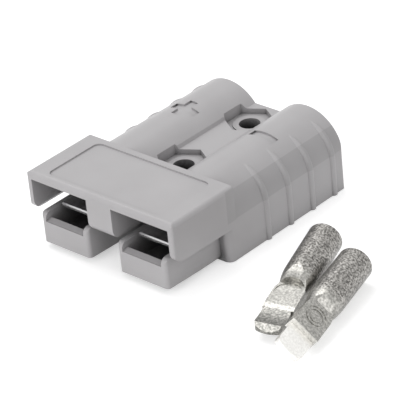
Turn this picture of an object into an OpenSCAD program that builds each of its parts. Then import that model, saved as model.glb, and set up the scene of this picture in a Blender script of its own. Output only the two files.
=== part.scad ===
// Two-pole genderless power connector with its two crimp contacts.
// Frame: X runs across the two poles, Y runs from the mating face (y = 0)
// back to the wire entries, Z is up and z = 0 is the flat base.

/* [Body] */
// Overall length from mating face to wire entries
total_len = 47.9; // [46:0.1:54]
// Height of the two barrel crowns and of the hood top
total_h = 15.5; // [15:0.1:17]
// Y of the body's front face, where the fingers start
body_front = 14.5; // [13.5:0.1:15.5]
// Distance from the symmetry plane to each barrel axis
pole_x = 9.95; // [9.6:0.05:10.2]
// Radius of the barrel crowns, which run straight down into the side walls
crown_r = 8.25; // [8.2:0.05:8.3]
// Height of the flat web between the two crowns
web_h = 12.2; // [11.6:0.1:12.6]
// Half width of the channel's floor between the two nut pockets
channel_half = 3.7; // [3.4:0.1:4.2]
// How far the channel's walls lean outwards for each millimetre of height
channel_lean = 0.35; // [0.1:0.05:0.5]
// Radius of the body's front vertical corners
front_corner_r = 1.4; // [0.8:0.1:2.0]
// Radius of the body's rear vertical corners
rear_corner_r = 0.6; // [0.3:0.1:1.2]

/* [Ribs] */
// Number of grip ribs on each side
rib_count = 4; // [2:1:4]
// Y of the first rib
rib_first = 25.4; // [24.5:0.1:26]
// Distance from the last rib to the wire entries' face
rib_rear = 3.15; // [2.5:0.05:6]
// Radius of a rib's round nose
rib_nose_r = 0.75; // [0.6:0.05:0.9]
// How far a rib stands out of the side wall
rib_proud = 0.45; // [0.3:0.05:0.55]

/* [Hood] */
// Width over the hood's side walls
hood_w = 36.8; // [36.6:0.1:37.9]
// Length of the hood
hood_len = 16.8; // [16:0.1:18]
// Thickness of the hood's top plate
hood_plate = 1.5; // [1.2:0.1:2]
// Thickness of the hood's side walls
hood_wall = 1.2; // [1:0.1:1.4]
// Lower edge of the hood's side walls at the rear
hood_low_rear = 6.95; // [6.6:0.05:7.4]
// Lower edge of the hood's side walls at the front
hood_low_front = 7.25; // [6.8:0.05:7.6]
// Height of the inward bevel along that lower edge
hood_bevel = 0.6; // [0.2:0.1:1.0]
// Width of the divider between the two cavities
divider_w = 6.2; // [5.6:0.1:6.8]
// Underside of the divider
divider_low = 7.45; // [7.2:0.05:8]
// Radius of the hood's long top edges
hood_top_r = 0.9; // [0.3:0.1:1.1]
// Radius of the hood's front lip
hood_lip_r = 0.9; // [0.5:0.1:1.2]
// Radius of the hood's front vertical corners
hood_corner_r = 0.5; // [0.4:0.1:1.1]
// Radius of the hood's lower front corners, seen from the side
hood_toe_r = 2.2; // [1.2:0.1:3]

/* [Hood Panel] */
// Width of the sunk panel on the hood
panel_w = 28.6; // [24:0.1:31]
// Length of the sunk panel
panel_len = 14.0; // [10:0.1:14.4]
// Distance from the hood's rear edge to the panel
panel_back = 1.4; // [1.2:0.1:1.8]
// Depth of the sunk panel
panel_depth = 0.3; // [0.15:0.05:0.5]
// Corner radius of the sunk panel
panel_r = 1.4; // [1:0.1:4]

/* [Fingers] */
// Inner side of each finger, from the symmetry plane
finger_in = 3.75; // [3.6:0.05:4.0]
// Outer side of each finger, from the symmetry plane
finger_out = 15.85; // [15.6:0.05:16.1]
// Thickness of the finger's side walls
finger_wall = 1.2; // [1:0.1:1.4]
// Thickness of the finger's front wall
finger_front = 1.45; // [1.2:0.05:1.8]
// Top of the finger's front wall
finger_front_top = 5.65; // [5:0.05:6]
// How far the ledge on the front wall rises inwards
ledge_rise = 0.35; // [0.1:0.05:0.6]
// Top of the finger's side walls
finger_side_top = 7.35; // [7:0.05:7.6]
// Underside of the finger at its tip
finger_low_tip = 1.15; // [0.8:0.05:1.4]
// Underside of the finger at its root
finger_low_root = 0.6; // [0.3:0.05:0.9]
// Inside floor of the contact chamber
chamber_floor = 2.25; // [2.1:0.05:2.5]
// Radius of the finger's vertical front corners
finger_corner_r = 0.8; // [0.4:0.1:1.1]
// Radius of the finger's lower edges
finger_edge_r = 0.5; // [0.3:0.05:0.8]
// Radius of the side walls' upper front corners
finger_brow_r = 1.3; // [0.6:0.1:1.6]

/* [Wire Entries] */
// Diameter of each wire entry in the rear face
entry_d = 11.6; // [10.4:0.1:12]
// Depth of each wire entry
entry_depth = 15; // [10:0.5:18]
// Diameter of the contact bore in front of it
contact_bore_d = 8.6; // [8:0.1:9]
// Height of the bores' axis over the base
bore_z = 7.2; // [7:0.05:7.4]

/* [Mounting] */
// Diameter of the two mounting holes
mount_d = 4.2; // [3.6:0.1:4.8]
// Y of the front mounting hole
mount_first = 23.15; // [22.5:0.05:24.5]
// Distance from the rear mounting hole to the wire entries' face
mount_rear = 5.7; // [5.5:0.05:8]
// Size across the flats of the hexagonal nut pockets
nut_af = 8.6; // [8:0.1:9.2]
// Height of the nut pockets' floor
nut_floor = 11.1; // [10.2:0.1:11.4]
// Outer diameter of the low ring round each hole
nut_ring_d = 6.6; // [5.8:0.1:7.4]
// Height of that ring
nut_ring_h = 0.2; // [0.1:0.05:0.3]

/* [Polarity Marks] */
// Length of each bar of the plus and minus marks
mark_len = 5.8; // [4:0.1:6.4]
// How far both marks sit from their crown's middle, towards +X
mark_shift = 0.4; // [0:0.1:1]
// Width of each bar
mark_w = 1.9; // [1.2:0.1:2.2]
// Depth of the marks under the crown surface
mark_depth = 0.4; // [0.2:0.05:0.6]
// Y of the middle of both marks
mark_y = 34.6; // [33:0.1:36]

/* [Leaf Springs] */
// Width of each leaf spring
spring_w = 8.1; // [7:0.1:8.4]
// Thickness of the spring steel
spring_t = 0.5; // [0.3:0.05:0.6]
// Y of the spring's front edge
spring_tip_y = 3.9; // [3:0.1:4.6]
// Top of the spring at its front edge
spring_tip_z = 8.1; // [7.8:0.05:8.3]
// Length of the raised flat behind the front edge
spring_flat = 3.8; // [3:0.1:4.4]
// Length of the tail that is held in the body
spring_tail = 8; // [5:0.5:10]
// Gap between a spring's tail and its slot
spring_gap = 0.05; // [0.03:0.01:0.1]

/* [Contacts] */
// Outer diameter of the crimp barrel
barrel_d = 6.7; // [6.4:0.1:7]
// Distance from the barrel's rear end to the start of the flattened part
barrel_len = 15.9; // [14:0.1:18]
// Diameter of the wire bore
wire_d = 4.8; // [3.6:0.1:5]
// Depth of the wire bore
wire_depth = 12; // [10:0.5:12.5]
// Length over which the barrel's end curves down to the blade
shoulder_len = 3.6; // [3.4:0.1:3.8]
// Radius of that curve, seen from the side
shoulder_r = 7; // [6.8:0.1:7.4]
// Radius that rounds the curved part off at its two sides
shoulder_side_r = 2.2; // [1.8:0.1:2.4]
// Width of the blade where it leaves the barrel
root_w = 4.9; // [4.6:0.1:5.2]
// Width of the mating pad
pad_w = 5.9; // [5.7:0.1:6.1]
// Height of the mating pad over the barrel axis
pad_h = 1.7; // [1.6:0.05:1.8]
// Length of the mating pad
pad_len = 7.9; // [7.6:0.1:8.4]
// Drop from the pad to the tip
tip_drop = 1.0; // [0.8:0.05:1.1]
// Length of the tip in front of the pad
tip_len = 5.6; // [5:0.1:6]
// Greatest width of the tip
tip_w = 5.4; // [5.2:0.1:5.6]
// Radius of the tip's corners where it leaves the pad
tip_root_r = 1.5; // [1.2:0.1:1.8]
// Length of the slope under the tip's nose
nose_len = 0.9; // [0.6:0.1:1.6]
// How far the blade's back lies under the barrel axis
back_h = 1.2; // [1.1:0.05:1.3]
// Distance from the flattened part's start to the bend across the back
bend_at = 6.8; // [6.4:0.1:7.2]
// Depth of the shallow saddle in front of that bend
saddle_rise = 0.35; // [0.2:0.05:0.5]
// Diameter of the outer coined ring on the mating pad
pad_ring_d = 4.4; // [3.4:0.1:4.8]
// Diameter of the coined round on the blade's back
back_ring_d = 5.2; // [4.4:0.1:5.4]
// Depth of the coined marks
coin_depth = 0.12; // [0.05:0.01:0.2]

/* [Contacts Laid Out] */
// Place of the left contact, back of the blade up, as x and y
left_at = [36.6, 11.0];
// Place of the right contact, mating pad up, as x and y
right_at = [45.2, 7.55];
// Heading of the left contact
left_heading = 18.4; // [14:0.2:22]
// Heading of the right contact
right_heading = 14.8; // [12:0.2:18]
// Roll of the left contact about its own axis
left_roll = 3; // [0:1:8]
// Roll of the right contact about its own axis
right_roll = 44; // [30:1:46]
// How much the left contact tips forward
left_pitch = 4; // [0:0.5:5]
// How much the right contact tips forward
right_pitch = 1.5; // [0:0.5:3]

/* [Hidden] */
$fn = 64;
eps = 0.01;
reach = 60;                      // longer than any cut has to be
crown_z = total_h - crown_r;     // height of the barrel axes
body_w = 2 * (pole_x + crown_r);   // width over the plain side walls
finger_mid = (finger_in + finger_out) / 2;
chamber_in = finger_in + finger_wall;
chamber_out = finger_out - finger_wall;
cavity_out = hood_w / 2 - hood_wall;
cavity_top = total_h - hood_plate;
rib_inset = rib_nose_r - rib_proud;
tail_z = bore_z - contact_bore_d / 2 - spring_t - 2 * spring_gap;
barrel_r = barrel_d / 2;
narrow_r = 14;                   // radius that narrows the barrel's front, seen from above
shoulder_lead = 0.5;             // how far behind the shoulder its rounding starts
shoulder_skim = 0.05;            // how far that rounding's drum stands over the barrel there
pad_back = 0.4;                  // how far in front of the barrel's nominal end the pad's plane starts
ramp_rise = 0.77;                // rise of the ramp behind the pad for each millimetre
arch_top = 0.25;                 // where the round end of the back's flat reaches up to
arch_r = 3.6;                    // radius of that round end
tip_end = -pad_len - tip_len;    // front end of the contact
mount_ys = [mount_first, total_len - mount_rear];
rib_pitch = (total_len - rib_rear - rib_first) / (rib_count - 1);

// ---------- small helpers ----------

// Both sides of the symmetry plane
module both_sides() {
    children();
    mirror([1, 0, 0]) children();
}

// A profile drawn in X and Z, drawn out along Y
module along_y(y0, y1) {
    translate([0, y1, 0]) rotate([90, 0, 0]) linear_extrude(y1 - y0) children();
}

// A profile drawn in Y and Z, drawn out along X
module along_x(x0, x1) {
    translate([x0, 0, 0]) rotate([90, 0, 90]) linear_extrude(x1 - x0) children();
}

// A box between two corners
module block(low, high) {
    translate(low) cube(high - low);
}

// A rectangle whose four corners have their own radii: [x0y0, x1y0, x1y1, x0y1]
module corner_rect(low, high, radii) {
    xs = [low[0], high[0], high[0], low[0]];
    ys = [low[1], low[1], high[1], high[1]];
    dx = [1, -1, -1, 1];
    dy = [1, 1, -1, -1];
    difference() {
        translate(low) square(high - low);
        for (k = [0 : 3]) if (radii[k] > 0) difference() {
            translate([xs[k] - (dx[k] > 0 ? eps : radii[k]), ys[k] - (dy[k] > 0 ? eps : radii[k])])
                square(radii[k] + eps);
            translate([xs[k] + dx[k] * radii[k], ys[k] + dy[k] * radii[k]]) circle(radii[k]);
        }
    }
}

// ---------- housing ----------

// Cross section of the body: two crowned barrels joined by a web
module body_section() {
    translate([-body_w / 2, 0]) square([body_w, crown_z]);
    translate([-pole_x, 0]) square([2 * pole_x, web_h]);
    for (side = [-1, 1]) translate([side * pole_x, crown_z]) circle(crown_r);
}

// Body block with rounded vertical corners
module body_block() {
    intersection() {
        along_y(body_front, total_len) body_section();
        linear_extrude(total_h + 1)
            corner_rect([-body_w / 2, body_front], [body_w / 2, total_len],
                        [front_corner_r, front_corner_r, rear_corner_r, rear_corner_r]);
    }
}

// One grip rib: a round bead up the side wall that dives into the crown
module grip_rib(y) {
    arc_in = 1.5;
    arc_up = 0.55;
    nose_at = body_w / 2 - rib_inset;
    translate([nose_at, y, 0]) cylinder(r = rib_nose_r, h = crown_z + arc_up);
    translate([pole_x + arc_in, y, crown_z + arc_up]) rotate([90, 0, 0])
        rotate_extrude(angle = 80) translate([nose_at - pole_x - arc_in, 0]) circle(rib_nose_r);
}

// Hood outline before its cavities are cut
module hood_block() {
    half = hood_w / 2;
    intersection() {
        along_y(0, hood_len)
            corner_rect([-half, 0], [half, total_h], [0, 0, hood_top_r, hood_top_r]);
        linear_extrude(total_h + 1)
            corner_rect([-half, 0], [half, hood_len], [hood_corner_r, hood_corner_r, 0, 0]);
        along_x(-half, half) hood_side();
    }
}

// Hood seen from the side: round lip on top, round toe below, lower edge rising forward
module hood_side() {
    intersection() {
        corner_rect([0, hood_low_front], [reach, total_h], [hood_toe_r, 0, 0, hood_lip_r]);
        square([hood_len, total_h]);
    }
    polygon([[hood_toe_r, hood_low_front + eps], [hood_toe_r, hood_low_front],
             [hood_len, hood_low_rear], [hood_len, hood_low_front + eps]]);
}

// One open cavity under the hood, with the bevel on the side wall's lower edge
module hood_cavity() {
    block([divider_w / 2, -1, 0], [cavity_out, body_front, cavity_top]);
    along_y(-1, body_front)
        polygon([[cavity_out - eps, 0], [cavity_out + hood_wall / 2, 0],
                 [cavity_out + hood_wall / 2, hood_low_rear], [cavity_out - eps, hood_low_front + hood_bevel]]);
}

// Hood with its cavities and the raised divider between them
module hood() {
    difference() {
        hood_block();
        both_sides() hood_cavity();
        divider_relief();
    }
}

// Clears the divider's underside and rounds its lower front corner
module divider_relief() {
    toe = 1.5;
    along_x(-divider_w / 2 - eps, divider_w / 2 + eps) difference() {
        translate([-1, 0]) square([body_front + 1, divider_low + toe]);
        corner_rect([0, divider_low], [body_front + 1, total_h], [toe, 0, 0, 0]);
    }
}

// Finger seen from the side: tapered underside, low front wall, higher side walls
module finger_side() {
    slope = (finger_low_tip - finger_low_root) / body_front;
    difference() {
        corner_rect([0, 0], [body_front + 1, finger_side_top], [0, 0, 0, finger_brow_r]);
        polygon([[-1, -1], [body_front + 2, -1], [body_front + 2, finger_low_root - 2 * slope],
                 [-1, finger_low_tip + slope]]);
    }
}

// One finger, a trough that is open on top and behind
module finger() {
    difference() {
        intersection() {
            along_x(finger_in, finger_out) finger_side();
            linear_extrude(finger_side_top + 1)
                corner_rect([finger_in, 0], [finger_out, body_front + 1],
                            [finger_corner_r, finger_corner_r, 0, 0]);
            along_y(0, body_front + 1)
                corner_rect([finger_in, finger_low_root - eps], [finger_out, finger_side_top],
                            [finger_edge_r, finger_edge_r, 0, 0]);
        }
        // chamber for the contact, open above and lower at the front wall
        block([chamber_in, finger_front, chamber_floor], [chamber_out, reach, total_h]);
        along_x(chamber_in, chamber_out)
            polygon([[-1, finger_front_top], [0.3, finger_front_top],
                     [finger_front, finger_front_top + ledge_rise], [finger_front + 1, total_h], [-1, total_h]]);
    }
}

// Everything that is bored or sunk on one side of the symmetry plane
module pole_cuts() {
    // wire entry from the rear, then the bore that takes the contact's barrel
    translate([pole_x, total_len + 1, bore_z]) rotate([90, 0, 0])
        cylinder(d = entry_d, h = entry_depth + 1);
    translate([pole_x, total_len, bore_z]) rotate([90, 0, 0])
        cylinder(d = contact_bore_d, h = total_len - body_front + 1);
    // slot for the leaf spring's tail, under the contact bore
    block([pole_x - spring_w / 2 - spring_gap, body_front - 1, tail_z - spring_gap],
          [pole_x + spring_w / 2 + spring_gap, body_front + spring_tail, bore_z - contact_bore_d / 4]);
}

// Mounting hole with its hexagonal nut pocket and low ring
module mount_cut(y) {
    translate([0, y, -1]) cylinder(d = mount_d, h = total_h);
    difference() {
        translate([0, y, nut_floor]) rotate([0, 0, 90])
            cylinder(d = nut_af / cos(30), h = total_h, $fn = 6);
        translate([0, y, nut_floor]) cylinder(d = nut_ring_d, h = nut_ring_h);
    }
}

// Channel with leaning walls between the two nut pockets
module web_channel() {
    top = channel_half + channel_lean * (total_h - web_h);
    along_y(mount_ys[0], mount_ys[1])
        polygon([[-channel_half, web_h], [channel_half, web_h], [top, total_h], [-top, total_h]]);
}

// Sunk panel on the hood
module panel_cut() {
    back = hood_len - panel_back;
    translate([0, 0, total_h - panel_depth]) linear_extrude(1)
        corner_rect([-panel_w / 2, back - panel_len], [panel_w / 2, back], [for (k = [0 : 3]) panel_r]);
}

// Keeps only what lies close under one crown's surface
module crown_skin(side) {
    difference() {
        children();
        translate([side * pole_x, 0, crown_z]) rotate([-90, 0, 0])
            cylinder(r = crown_r - mark_depth, h = total_len);
    }
}

// Plus on the left barrel and minus on the right one
module polarity_marks() {
    crown_skin(-1) translate([mark_shift - pole_x, mark_y, total_h - mark_len / 3]) union() {
        translate([-mark_len / 2, -mark_w / 2, 0]) cube([mark_len, mark_w, mark_len]);
        translate([-mark_w / 2, -mark_len / 2, 0]) cube([mark_w, mark_len, mark_len]);
    }
    crown_skin(1) translate([pole_x + mark_shift - mark_len / 2, mark_y - mark_w / 2, total_h - mark_len / 3])
        cube([mark_len, mark_w, mark_len]);
}

module housing() color([0.69, 0.69, 0.69]) {
    difference() {
        union() {
            body_block();
            hood();
            both_sides() finger();
            both_sides() for (k = [0 : rib_count - 1]) grip_rib(rib_first + k * rib_pitch);
        }
        both_sides() pole_cuts();
        for (y = mount_ys) mount_cut(y);
        web_channel();
        panel_cut();
        polarity_marks();
    }
}

// ---------- leaf springs ----------

// Leaf seen from the side: turned-down lip, raised flat, long ramp, tail
module leaf_side() {
    lip = 0.45;
    tail_top = tail_z + spring_t;
    ramp_end = body_front - 0.6;
    flat_end = spring_tip_y + spring_flat;
    fall = (spring_tip_z - tail_top) / (ramp_end - flat_end);
    shift = spring_t * (sqrt(1 + fall * fall) - 1) / fall;
    polygon([
        [spring_tip_y, spring_tip_z - lip - spring_t / 2],
        [spring_tip_y, spring_tip_z - lip / 2],
        [spring_tip_y + lip / 2, spring_tip_z],
        [flat_end, spring_tip_z],
        [ramp_end, tail_top],
        [body_front + spring_tail - spring_gap, tail_top],
        [body_front + spring_tail - spring_gap, tail_z],
        [ramp_end - shift, tail_z],
        [flat_end - shift, spring_tip_z - spring_t],
        [spring_tip_y + spring_t, spring_tip_z - spring_t],
        [spring_tip_y + spring_t, spring_tip_z - lip - spring_t / 2]
    ]);
}

module leaf_spring(side) color([0.75, 0.75, 0.76])
    along_x(side * pole_x - spring_w / 2, side * pole_x + spring_w / 2) leaf_side();

module spring_left() leaf_spring(-1);
module spring_right() leaf_spring(1);

// ---------- crimp contacts ----------

// Barrel with an eased rim at the wire end and a slowly narrowing front
module barrel_turned() {
    edge = 0.3;
    front = shoulder_len - 7;
    rotate([-90, 0, 0]) rotate_extrude() {
        corner_rect([0, shoulder_len - eps], [barrel_r, barrel_len], [0, 0, edge, 0]);
        intersection() {
            translate([barrel_r - narrow_r, shoulder_len]) circle(narrow_r);
            translate([0, front]) square([barrel_r, shoulder_len - front]);
        }
    }
}

// What lies outside a drum with round edges: side = 1 rounds the barrel's front down from the top
module shoulder_cut(side) {
    start = shoulder_len + shoulder_lead;
    drum_half = barrel_r + shoulder_skim;
    difference() {
        block([-barrel_d, shoulder_len - 8, side > 0 ? -eps : -barrel_d],
              [barrel_d, start, side > 0 ? barrel_d : eps]);
        translate([0, start, side * (barrel_r + shoulder_skim - shoulder_r)]) rotate([0, 90, 0])
            rotate_extrude()
                corner_rect([0, -drum_half], [shoulder_r, drum_half], [0, shoulder_side_r, shoulder_side_r, 0]);
    }
}

// Pad seen from above: it widens in front of the barrel
module pad_plan() {
    polygon([[-root_w / 2, shoulder_len], [root_w / 2, shoulder_len], [root_w / 2, -pad_back],
             [pad_w / 2 - 0.05, -2.2], [pad_w / 2, -pad_len], [-pad_w / 2, -pad_len],
             [0.05 - pad_w / 2, -2.2], [-root_w / 2, -pad_back]]);
}

// Tip seen from above: four round corners and a bowed nose
module tip_plan() {
    nose_r = 1.6;
    nose_bow = 5.5;
    intersection() {
        corner_rect([-tip_w / 2, tip_end], [tip_w / 2, 0.6 - pad_len], [nose_r, nose_r, tip_root_r, tip_root_r]);
        translate([0, tip_end + nose_bow]) circle(nose_bow);
    }
}

// Limits seen from the side: ramp down to the pad, step, tip and sloping nose
module contact_side() {
    tall = barrel_r + 0.1;
    ramp_top = (tall - pad_h) / ramp_rise - pad_back;
    tip_top = pad_h - tip_drop;
    polygon([[barrel_len + 1, tall], [ramp_top, tall], [-pad_back, pad_h], [-pad_len, pad_h],
             [-pad_len, tip_top], [tip_end, tip_top - 0.2], [tip_end, 0], [tip_end + nose_len, -back_h],
             [0, -tall], [barrel_len + 1, -tall]]);
}

// One contact in its own frame: axis along Y, tip towards -Y, mating pad up
module contact() {
    heel = -tip_end - nose_len;
    saddle_half = (heel - bend_at) / 2;
    saddle_r = (pow(saddle_half, 2) + pow(saddle_rise, 2)) / (2 * saddle_rise);
    difference() {
        intersection() {
            union() {
                difference() {
                    barrel_turned();
                    shoulder_cut(1);
                    shoulder_cut(-1);
                }
                translate([0, 0, -back_h]) linear_extrude(pad_h + back_h) pad_plan();
                translate([0, 0, -back_h]) linear_extrude(pad_h - tip_drop + back_h) tip_plan();
            }
            along_x(-barrel_d, barrel_d) contact_side();
        }
        // wire bore
        translate([0, barrel_len + 1, 0]) rotate([90, 0, 0]) cylinder(d = wire_d, h = wire_depth + 1);
        back_flat();
        // saddle across the blade's back, where the leaf spring bears
        translate([-barrel_d, saddle_half - heel, saddle_rise - back_h - saddle_r]) rotate([0, 90, 0])
            cylinder(r = saddle_r, h = 2 * barrel_d);
        coined_marks();
    }
}

// Flat on the blade's back, with a round end that runs up into the barrel's shoulder
module back_flat() {
    translate([0, arch_top - arch_r, -back_h - barrel_r]) cylinder(r = arch_r, h = barrel_r);
    block([-barrel_r, -barrel_len, -back_h - barrel_r], [barrel_r, arch_top - arch_r, -back_h]);
}

// Two coined rings on the pad and a coined round on the back
module coined_marks() {
    line = 0.3;
    inner_d = pad_ring_d - 1.4;
    translate([0, -3.6, pad_h - coin_depth]) for (d = [pad_ring_d, inner_d]) difference() {
        cylinder(d = d, h = 1);
        translate([0, 0, -1]) cylinder(d = d - 2 * line, h = 3);
    }
    translate([0, -3, -back_h - 1]) cylinder(d = back_ring_d, h = 1 + coin_depth);
}

// Lays a contact on the surface beside the housing
module laid_out(at, heading, pitch, roll) {
    // the front end of the barrel's straight part stays on the surface
    translate([at[0], at[1], barrel_r]) rotate([0, 0, heading]) translate([0, shoulder_len, 0])
        rotate([pitch, 0, 0]) rotate([0, roll, 0]) translate([0, -shoulder_len, 0]) contact();
}

module contact_left() color([0.80, 0.79, 0.76]) laid_out(left_at, left_heading, left_pitch, 180 + left_roll);
module contact_right() color([0.80, 0.79, 0.76]) laid_out(right_at, right_heading, right_pitch, right_roll);

housing();
spring_left();
spring_right();
contact_left();
contact_right();
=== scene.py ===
# %% [markdown]
# # A genderless power connector with its two crimp contacts
# This lesson dresses a finished CAD model. The grey housing is one moulding:
# a hood above two open fingers, then a body with two round crowns. A steel leaf
# spring sits in each finger, and two silver-plated contacts lie beside it.
# The CAD already has the true shapes, so Blender adds soft edges and finishes.

# %% Load the model
import math
import bpy
from mathutils import Matrix, Vector

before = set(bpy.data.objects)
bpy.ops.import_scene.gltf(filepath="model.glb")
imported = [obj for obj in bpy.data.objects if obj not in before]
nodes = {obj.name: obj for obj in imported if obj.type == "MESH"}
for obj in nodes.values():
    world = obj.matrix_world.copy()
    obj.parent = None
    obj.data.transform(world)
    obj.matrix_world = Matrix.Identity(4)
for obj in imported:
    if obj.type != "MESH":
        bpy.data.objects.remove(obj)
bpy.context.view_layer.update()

MM = 0.001
scene = bpy.context.scene

# %% [markdown]
# ## The camera
# A long lens from half a metre away keeps the edges nearly parallel, as in a
# catalogue view. The camera looks down by about 30 degrees from the front right
# and is rolled a little. It could be aimed with a Track To constraint, but a
# matrix built from its three axes states the roll plainly.

# %% Camera
view_turn, view_drop, view_roll = math.radians(44.67), math.radians(29.94), math.radians(-5.93)
aim = Vector((6.445, 20.0, 7.217)) * MM
stand_off = 508.8 * MM

back = Vector((math.sin(view_turn) * math.cos(view_drop),
               -math.cos(view_turn) * math.cos(view_drop), math.sin(view_drop)))
level = Vector((math.cos(view_turn), math.sin(view_turn), 0.0))
upright = back.cross(level)
right = level * math.cos(view_roll) + upright * math.sin(view_roll)
up = upright * math.cos(view_roll) - level * math.sin(view_roll)

camera_data = bpy.data.cameras.new("camera")
camera_data.sensor_width = 36.0
camera_data.lens = 245.3
camera = bpy.data.objects.new("camera", camera_data)
scene.collection.objects.link(camera)
turned = Matrix((right, up, back)).transposed().to_4x4()
camera.matrix_world = Matrix.Translation(aim + back * stand_off) @ turned
scene.camera = camera
print("camera at", tuple(round(v, 4) for v in camera.matrix_world.translation))

# %% [markdown]
# ## Helpers for node trees
# Every finish below is a small tree of shader nodes. These helpers keep each
# tree short to read: one adds a node, one does a sum, and one tells the rays
# that an eye or a mirror sends from the rays that only carry light.

# %% Helpers for node trees
def new_material(name):
    material = bpy.data.materials.new(name)
    material.use_nodes = True
    tree = material.node_tree
    shader = tree.nodes["Principled BSDF"]
    return material, tree, shader


def put(tree, kind, **values):
    node = tree.nodes.new(kind)
    for key, value in values.items():
        setattr(node, key, value)
    return node


def math_node(tree, operation, a, b=None):
    node = put(tree, "ShaderNodeMath", operation=operation)
    for socket, value in zip(node.inputs, (a, b)):
        if value is None:
            continue
        if hasattr(value, "is_output"):
            tree.links.new(value, socket)
        else:
            socket.default_value = value
    return node.outputs[0]


def seen_by_eye_or_mirror(tree):
    path = put(tree, "ShaderNodeLightPath")
    mirror = math_node(tree, "MAXIMUM", path.outputs["Is Glossy Ray"], path.outputs["Is Transmission Ray"])
    return math_node(tree, "MAXIMUM", path.outputs["Is Camera Ray"], mirror)


print("helpers ready for", bpy.app.version_string)

# %% [markdown]
# ## The table
# The table is a plain pale sheet. Its shader adds a little plain emission for
# camera and mirror rays, so that it reads as white paper while it still takes
# the object's shadow. A shadow catcher could do the same, but it would hide the
# sheet from the metal, which should reflect it.

# %% Table
reach = 1.5
table_drop = 0.05 * MM
paper_glow = 0.5

corners = [(-reach, -reach, 0), (reach, -reach, 0), (reach, reach, 0), (-reach, reach, 0)]
table_mesh = bpy.data.meshes.new("table")
table_mesh.from_pydata(corners, [], [(0, 1, 2, 3)])
table = bpy.data.objects.new("table", table_mesh)
table.location.z = -table_drop
scene.collection.objects.link(table)

paper, tree, shader = new_material("white paper")
shader.inputs["Base Color"].default_value = (0.82, 0.82, 0.82, 1)
shader.inputs["Roughness"].default_value = 0.9
shader.inputs["Specular IOR Level"].default_value = 0.2
glow = put(tree, "ShaderNodeEmission")
glow.inputs["Color"].default_value = (1, 1, 1, 1)
seen = seen_by_eye_or_mirror(tree)
tree.links.new(math_node(tree, "MULTIPLY", seen, paper_glow), glow.inputs["Strength"])
both = put(tree, "ShaderNodeAddShader")
tree.links.new(shader.outputs[0], both.inputs[0])
tree.links.new(glow.outputs[0], both.inputs[1])
tree.links.new(both.outputs[0], tree.nodes["Material Output"].inputs["Surface"])
table_mesh.materials.append(paper)
print("table made")

# %% [markdown]
# ## The world
# The world is white where the camera or a mirror sees it, and softer where it
# lights the object, so the background stays white and the greys keep their tone.

# %% World
world = bpy.data.worlds.new("studio")
scene.world = world
world.use_nodes = True
tree = world.node_tree
sky = tree.nodes["Background"]
sky.inputs["Color"].default_value = (1, 1, 1, 1)
plain_level = 0.50
strength = math_node(tree, "MULTIPLY", seen_by_eye_or_mirror(tree), 1.0 - plain_level)
tree.links.new(math_node(tree, "ADD", strength, plain_level), sky.inputs["Strength"])
print("world set")

# %% [markdown]
# ## The lamps
# Three broad area lamps give soft shadows, as studio softboxes do. The key
# stands high behind the left shoulder of the part, the other two fill its front
# and its right side. Each is aimed by turning its -Z axis at the part's middle.

# %% Lamps
def soft_lamp(name, place, size, watts):
    data = bpy.data.lights.new(name, "AREA")
    data.shape = "RECTANGLE"
    data.size, data.size_y = size
    data.energy = watts
    lamp = bpy.data.objects.new(name, data)
    lamp.location = Vector(place)
    lamp.rotation_euler = (aim - lamp.location).to_track_quat("-Z", "Y").to_euler()
    scene.collection.objects.link(lamp)


soft_lamp("key", (-0.25, 0.15, 0.60), (0.45, 0.45), 1.5)
soft_lamp("fill", (0.55, -0.15, 0.35), (0.40, 0.40), 0.5)
soft_lamp("front", (-0.10, -0.60, 0.30), (0.40, 0.30), 1.5)
scene.view_settings.view_transform = "Standard"

# %% [markdown]
# ## Soft edges
# No moulded or pressed edge is sharp. A Bevel modifier limited by angle rounds
# each hard edge of the CAD mesh and leaves the smooth crowns alone. It could be
# modelled edge by edge, but the modifier keeps the CAD mesh itself untouched.

# %% Bevels
sharp_from = math.radians(35)


def soften(name, width_mm):
    bevel = nodes[name].modifiers.new("soft edges", "BEVEL")
    bevel.limit_method = "ANGLE"
    bevel.angle_limit = sharp_from
    bevel.width = width_mm * MM
    bevel.segments = 2
    bevel.use_clamp_overlap = True
    bevel.harden_normals = True
    bevel.miter_outer = "MITER_ARC"


soften("housing", 0.16)
for side in ("left", "right"):
    soften("spring_" + side, 0.08)
    soften("contact_" + side, 0.18)
print("bevels added")

# %% [markdown]
# ## Shared effects
# Two effects serve several finishes, so each is a node group. Fine grain gives
# the tiny bumps of a spark-eroded mould or of a tumbled, plated surface. Slow
# mottle gives the faint uneven tone that no real surface is free of.

# %% Node groups
def effect_group(name, inputs, outputs):
    group = bpy.data.node_groups.new(name, "ShaderNodeTree")
    for label, value in inputs:
        socket = group.interface.new_socket(label, in_out="INPUT", socket_type="NodeSocketFloat")
        socket.default_value = value
    for label in outputs:
        group.interface.new_socket(label, in_out="OUTPUT", socket_type="NodeSocketFloat")
    return group, put(group, "NodeGroupInput"), put(group, "NodeGroupOutput")


grain, inside, outside = effect_group("fine grain",
                                      [("Scale", 4000.0), ("Detail", 3.0)], ["Height", "Speckle"])
where = put(grain, "ShaderNodeTexCoord")
noise = put(grain, "ShaderNodeTexNoise")
grain.links.new(where.outputs["Object"], noise.inputs["Vector"])
grain.links.new(inside.outputs["Scale"], noise.inputs["Scale"])
grain.links.new(inside.outputs["Detail"], noise.inputs["Detail"])
grain.links.new(noise.outputs["Fac"], outside.inputs["Height"])
grain.links.new(math_node(grain, "POWER", noise.outputs["Fac"], 2.0), outside.inputs["Speckle"])

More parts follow.
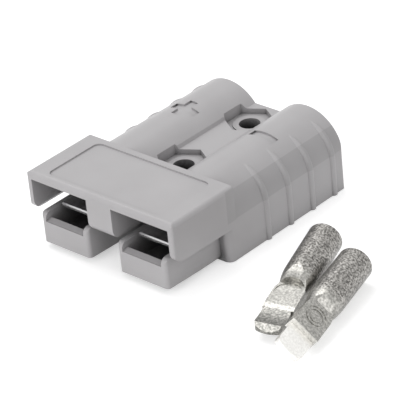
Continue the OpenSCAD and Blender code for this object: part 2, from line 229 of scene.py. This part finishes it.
mottle, inside, outside = effect_group("slow mottle",
                                       [("Scale", 90.0), ("Low", 0.9), ("High", 1.0)], ["Factor"])
where = put(mottle, "ShaderNodeTexCoord")
noise = put(mottle, "ShaderNodeTexNoise")
spread = put(mottle, "ShaderNodeMapRange")
mottle.links.new(where.outputs["Object"], noise.inputs["Vector"])
mottle.links.new(inside.outputs["Scale"], noise.inputs["Scale"])
mottle.links.new(noise.outputs["Fac"], spread.inputs["Value"])
spread.inputs["From Min"].default_value = 0.3
spread.inputs["From Max"].default_value = 0.7
mottle.links.new(inside.outputs["Low"], spread.inputs["To Min"])
mottle.links.new(inside.outputs["High"], spread.inputs["To Max"])
mottle.links.new(spread.outputs["Result"], outside.inputs["Factor"])
print("effects:", grain.name, "and", mottle.name)


def use_effect(tree, group, **values):
    node = put(tree, "ShaderNodeGroup", node_tree=group)
    for label, value in values.items():
        node.inputs[label].default_value = value
    return node

# %% [markdown]
# ## Helpers for finishes
# A finish often needs a colour between two tones, a bump from a height, and its
# place on a piece. Each is one short function here.

# %% Helpers for finishes
def tinted(tree, factor, dark, light):
    mix = put(tree, "ShaderNodeMix", data_type="RGBA")
    mix.inputs["A"].default_value = (*dark, 1)
    mix.inputs["B"].default_value = (*light, 1)
    tree.links.new(factor, mix.inputs["Factor"])
    return mix.outputs["Result"]


def raised(tree, height, distance_mm, strength=1.0):
    bump = put(tree, "ShaderNodeBump")
    bump.inputs["Distance"].default_value = distance_mm * MM
    bump.inputs["Strength"].default_value = strength
    tree.links.new(height, bump.inputs["Height"])
    return bump.outputs["Normal"]


def dress(name, material):
    slots = nodes[name].data.materials
    slots.clear()
    slots.append(material)


print("finishes can go on", len(nodes), "pieces")

# %% [markdown]
# ## Moulded plastic
# The housing is a mid grey polycarbonate with a satin skin: a little sheen, a grain too fine to see by
# eye, and a faint mottle. Each outer flank carries a slightly darker band of painted shade, which stands
# in for the darker reflection that the flank catches. The band follows the angle about the crown's axis.
# Ambient Occlusion paints shade into the colour inside the cavities, where little light gets in.

# %% Housing plastic
pole_x, crown_r, crown_top, body_front = 9.95 * MM, 8.25 * MM, 15.5 * MM, 14.5 * MM
painted_shade_band_from, painted_shade_band_to = math.radians(46.0), math.radians(81.6)
painted_shade_band_drop = 0.12
cavity_shade_reach = 8.0 * MM

plastic, tree, shader = new_material("satin grey plastic")
where = put(tree, "ShaderNodeTexCoord")
split = put(tree, "ShaderNodeSeparateXYZ")
tree.links.new(where.outputs["Object"], split.inputs["Vector"])
# painted shade: a darker band on each outer flank, found from the angle about the crown's axis
outward = math_node(tree, "SUBTRACT", math_node(tree, "ABSOLUTE", split.outputs["X"]), pole_x)
above = math_node(tree, "SUBTRACT", split.outputs["Z"], crown_top - crown_r)
turn = math_node(tree, "ARCTAN2", outward, above)
painted_shade_band = math_node(tree, "MULTIPLY", math_node(tree, "GREATER_THAN", turn, painted_shade_band_from),
                 math_node(tree, "LESS_THAN", turn, painted_shade_band_to))
painted_shade_band = math_node(tree, "MULTIPLY", painted_shade_band, math_node(tree, "GREATER_THAN", split.outputs["Y"], body_front))

tone = use_effect(tree, mottle, Scale=110.0, Low=0.0, High=1.0)
grey = tinted(tree, tone.outputs["Factor"], (0.440, 0.428, 0.436), (0.470, 0.458, 0.466))
# painted shade: Ambient Occlusion darkens the colour in cavities, creases and recesses
cavity_shade_ao = put(tree, "ShaderNodeAmbientOcclusion", samples=8)
cavity_shade_ao.inputs["Distance"].default_value = cavity_shade_reach
cavity_shade_ramp = put(tree, "ShaderNodeMapRange")
cavity_shade_ramp.inputs["From Min"].default_value = 0.20
cavity_shade_ramp.inputs["From Max"].default_value = 0.52
cavity_shade_ramp.inputs["To Min"].default_value = 0.02
tree.links.new(cavity_shade_ao.outputs["AO"], cavity_shade_ramp.inputs["Value"])
cavity_shade_factor = cavity_shade_ramp.outputs["Result"]
level = math_node(tree, "MULTIPLY", cavity_shade_factor,
                  math_node(tree, "SUBTRACT", 1.0, math_node(tree, "MULTIPLY", painted_shade_band, painted_shade_band_drop)))
shade = put(tree, "ShaderNodeVectorMath", operation="SCALE")
tree.links.new(grey, shade.inputs[0])
tree.links.new(level, shade.inputs["Scale"])
tree.links.new(shade.outputs["Vector"], shader.inputs["Base Color"])
skin = use_effect(tree, grain, Scale=5200.0, Detail=2.0)
tree.links.new(raised(tree, skin.outputs["Height"], 0.006, 0.5), shader.inputs["Normal"])
sheen = use_effect(tree, mottle, Scale=300.0, Low=0.30, High=0.38)
tree.links.new(sheen.outputs["Factor"], shader.inputs["Roughness"])
shader.inputs["IOR"].default_value = 1.5
dress("housing", plastic)
print("housing dressed")

# %% [markdown]
# ## Spring steel
# The leaf springs are cut from bright rolled strip, so fine streaks run along
# their length. Noise squeezed in two directions draws them. An anisotropic
# shader could too, but it needs a tangent along the strip.

# %% Springs
steel, tree, shader = new_material("bright spring steel")
shader.inputs["Metallic"].default_value = 1.0
where = put(tree, "ShaderNodeTexCoord")
squeeze = put(tree, "ShaderNodeMapping")
squeeze.inputs["Scale"].default_value = (9000.0, 300.0, 9000.0)
streaks = put(tree, "ShaderNodeTexNoise")
streaks.inputs["Scale"].default_value = 1.0
tree.links.new(where.outputs["Object"], squeeze.inputs["Vector"])
tree.links.new(squeeze.outputs["Vector"], streaks.inputs["Vector"])
streaky = tinted(tree, streaks.outputs["Fac"], (0.60, 0.60, 0.61), (0.80, 0.80, 0.81))
tree.links.new(streaky, shader.inputs["Base Color"])
shader.inputs["Roughness"].default_value = 0.25
for side in ("left", "right"):
    dress("spring_" + side, steel)
print("springs dressed")

# %% [markdown]
# ## Silver-plated copper
# The contacts were tumbled before plating, so the barrels have a coarse grain, while the pad and the tip
# were pressed smooth. The barrel's colour is also painted much darker and the pad's a middle tone, as
# painted dark reflection of the surroundings that the plating mirrors. The tip's colour is painted light:
# a painted highlight on the right contact and painted shade on the left one. The place along the contact's
# own axis drives the tone and the grain. Each contact lies at its own angle and gets its own material.

# %% Contacts
def plating(name, at_mm, heading, painted_tip_dark, painted_tip_light):
    material, tree, shader = new_material("silver plating " + name)
    axis = (-math.sin(math.radians(heading)), math.cos(math.radians(heading)), 0.0)
    where = put(tree, "ShaderNodeTexCoord")
    along = put(tree, "ShaderNodeVectorMath", operation="DOT_PRODUCT")
    tree.links.new(where.outputs["Object"], along.inputs[0])
    along.inputs[1].default_value = axis
    start = (at_mm[0] * axis[0] + at_mm[1] * axis[1]) * MM
    place = math_node(tree, "SUBTRACT", along.outputs["Value"], start)

    def step(low_mm, high_mm):
        ramp = put(tree, "ShaderNodeMapRange", interpolation_type="SMOOTHSTEP")
        ramp.inputs["From Min"].default_value = low_mm * MM
        ramp.inputs["From Max"].default_value = high_mm * MM
        tree.links.new(place, ramp.inputs["Value"])
        return ramp.outputs["Result"]

    barrel, tip_to_pad = step(1.2, 3.4), step(-8.1, -7.7)
    coarse = use_effect(tree, grain, Scale=2600.0, Detail=4.0)
    speckle = put(tree, "ShaderNodeMapRange")
    speckle.inputs["From Min"].default_value = 0.12
    speckle.inputs["From Max"].default_value = 0.42
    tree.links.new(coarse.outputs["Speckle"], speckle.inputs["Value"])
    # painted dark reflection: barrel and pad tones are darkened over a real speckled grain; the tip tone
    # is painted shade or a painted highlight
    barrel_grain_and_dark_reflection = tinted(tree, speckle.outputs["Result"], (0.09, 0.086, 0.08), (0.50, 0.485, 0.46))
    pad_dark_reflection = tinted(tree, speckle.outputs["Result"], (0.26, 0.255, 0.24), (0.52, 0.51, 0.48))
    tip_painted_light = tinted(tree, speckle.outputs["Result"], painted_tip_dark, painted_tip_light)

    def blend(factor, a, b):
        mix = put(tree, "ShaderNodeMix", data_type="RGBA")
        tree.links.new(factor, mix.inputs["Factor"])
        tree.links.new(a, mix.inputs["A"])
        tree.links.new(b, mix.inputs["B"])
        return mix.outputs["Result"]

    tree.links.new(blend(barrel, blend(tip_to_pad, tip_painted_light, pad_dark_reflection), barrel_grain_and_dark_reflection), shader.inputs["Base Color"])
    bump = raised(tree, coarse.outputs["Height"], 0.12, 1.0)
    strength = math_node(tree, "ADD", math_node(tree, "MULTIPLY", barrel, 0.85), 0.12)
    tree.links.new(strength, bump.node.inputs["Strength"])
    tree.links.new(bump, shader.inputs["Normal"])
    shader.inputs["Metallic"].default_value = 1.0
    shader.inputs["Roughness"].default_value = 0.32
    dress(name, material)


# place and heading are those of the CAD; the left contact's tip gets painted shade, the right contact's
# tip a painted highlight
painted_shade_tip = (0.14, 0.14, 0.13), (0.36, 0.35, 0.33)
painted_highlight_tip = (0.82, 0.81, 0.78), (0.97, 0.96, 0.93)
plating("contact_left", (36.6, 11.0), 18.4, *painted_shade_tip)
plating("contact_right", (45.2, 7.55), 14.8, *painted_highlight_tip)
print("contacts dressed")
